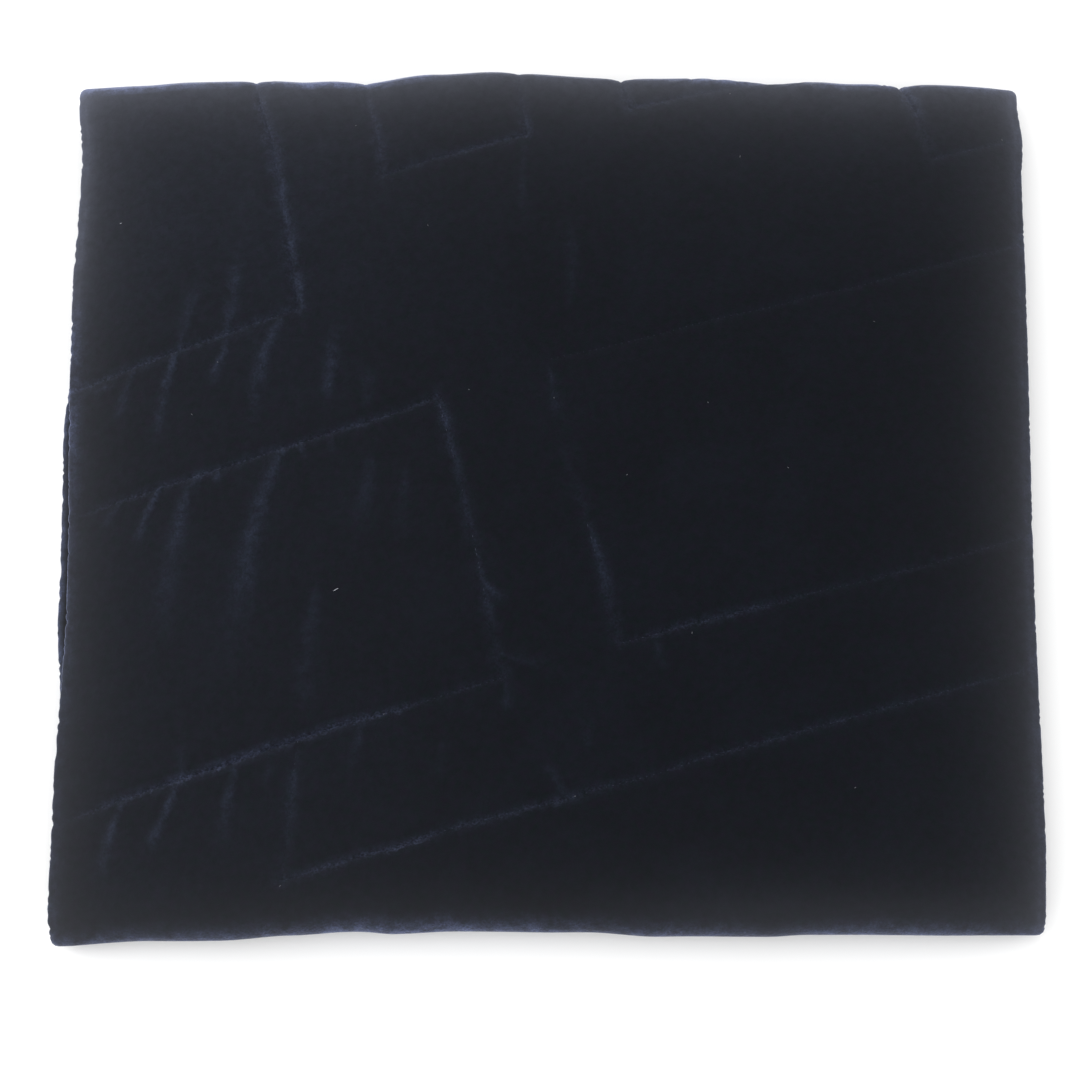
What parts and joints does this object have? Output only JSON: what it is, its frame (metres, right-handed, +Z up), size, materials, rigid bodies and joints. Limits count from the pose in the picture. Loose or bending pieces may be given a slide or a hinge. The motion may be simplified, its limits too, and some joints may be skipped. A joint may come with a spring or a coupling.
{
  "type": "evening stole",
  "caption": "Long quilted velvet evening stole, lightly padded, folded in half and in half again and laid flat as a near-square pad with a thick rolled front fold.",
  "frame": {"origin": "bottom centre of the folded stack, on the surface it lies on", "axes": "+X towards the right side seam, +Y along the strip from the front roll to the back fold, +Z up out of the quilted face"},
  "size_m": [0.5042, 0.4596, 0.0255],
  "materials": {
    "velvet": "near-black navy cotton velvet, matt short pile with a soft blue-grey sheen at the edges",
    "velvet_inside": "the same velvet where it is folded inside, darker"
  },
  "bodies": {
    "root": {"top_stretch": "velvet", "under_stretch": "velvet", "inner_layers": "velvet_inside"}
  },
  "joints": []
}
